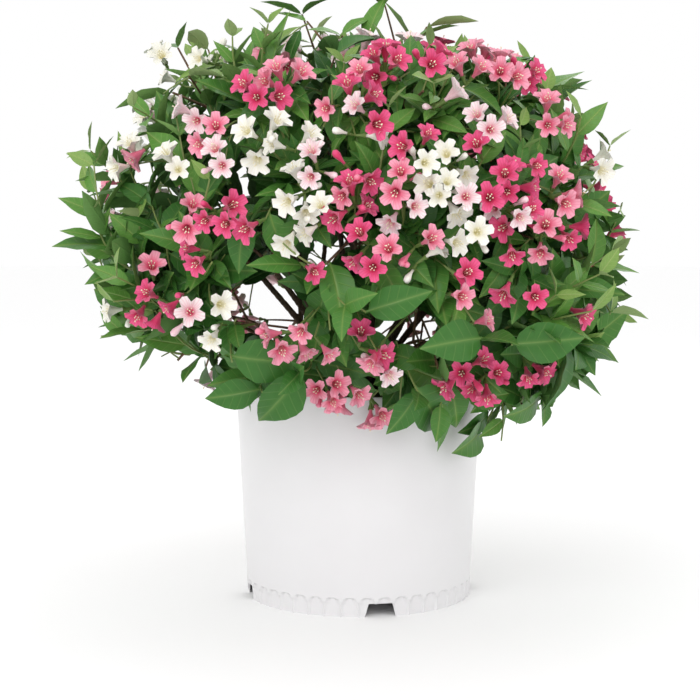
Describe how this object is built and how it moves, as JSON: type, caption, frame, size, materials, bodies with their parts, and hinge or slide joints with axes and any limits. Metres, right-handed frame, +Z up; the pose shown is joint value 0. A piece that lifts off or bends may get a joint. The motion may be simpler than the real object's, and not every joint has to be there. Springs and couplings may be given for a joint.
{
  "type": "potted weigela shrub",
  "caption": "Flowering weigela shrub, a rounded crown of stems, leaf pairs and trumpet flowers, growing in a round tapered nursery pot with a notched foot.",
  "frame": {"origin": "centre of the pot's foot, on the surface it stands on", "axes": "+Z up along the pot's axis, -Y towards the front, +X to the right seen from the front"},
  "size_m": [0.6006, 0.5723, 0.6679],
  "materials": {
    "pot": "satin white moulded plastic",
    "potting_mix": "moist composted bark",
    "bark": "brown fibrous bark",
    "foliage": "green leaves with a soft gloss",
    "shoots": "light green young shoots",
    "petals_white": "soft matt petals",
    "petals_blush": "soft matt petals",
    "petals_pink": "soft matt petals",
    "petals_rose": "soft matt petals"
  },
  "bodies": {
    "root": {"pot": "pot", "potting_mix": "potting_mix", "root_crown": "bark", "limb_mid_1": "bark", "limb_mid_2": "bark", "limb_mid_3": "bark", "limb_mid_4": "bark", "limb_mid_5": "bark", "limb_mid_6": "bark", "limb_mid_7": "bark", "limb_mid_8": "bark", "limb_low_1": "bark", "limb_low_2": "bark", "limb_low_3": "bark", "limb_low_4": "bark", "limb_low_5": "bark", "limb_low_6": "bark", "limb_low_7": "bark", "limb_low_8": "bark", "limb_high_1": "bark", "limb_high_2": "bark", "limb_high_3": "bark", "limb_high_4": "bark", "limb_high_5": "bark", "limb_high_6": "bark", "limb_high_7": "bark", "limb_high_8": "bark", "limb_top_1": "bark", "limb_top_2": "bark", "limb_top_3": "bark", "foliage_mid_1": "foliage", "foliage_mid_2": "foliage", "foliage_mid_3": "foliage", "foliage_mid_4": "foliage", "foliage_mid_5": "foliage", "foliage_mid_6": "foliage", "foliage_mid_7": "foliage", "foliage_mid_8": "foliage", "foliage_low_1": "foliage", "foliage_low_2": "foliage", "foliage_low_3": "foliage", "foliage_low_4": "foliage", "foliage_low_5": "foliage", "foliage_low_6": "foliage", "foliage_low_7": "foliage", "foliage_low_8": "foliage", "foliage_high_1": "foliage", "foliage_high_2": "foliage", "foliage_high_3": "foliage", "foliage_high_4": "foliage", "foliage_high_5": "foliage", "foliage_high_6": "foliage", "foliage_high_7": "foliage", "foliage_high_8": "foliage", "foliage_top_1": "foliage", "foliage_top_2": "foliage", "foliage_top_3": "foliage"}
  },
  "joints": []
}
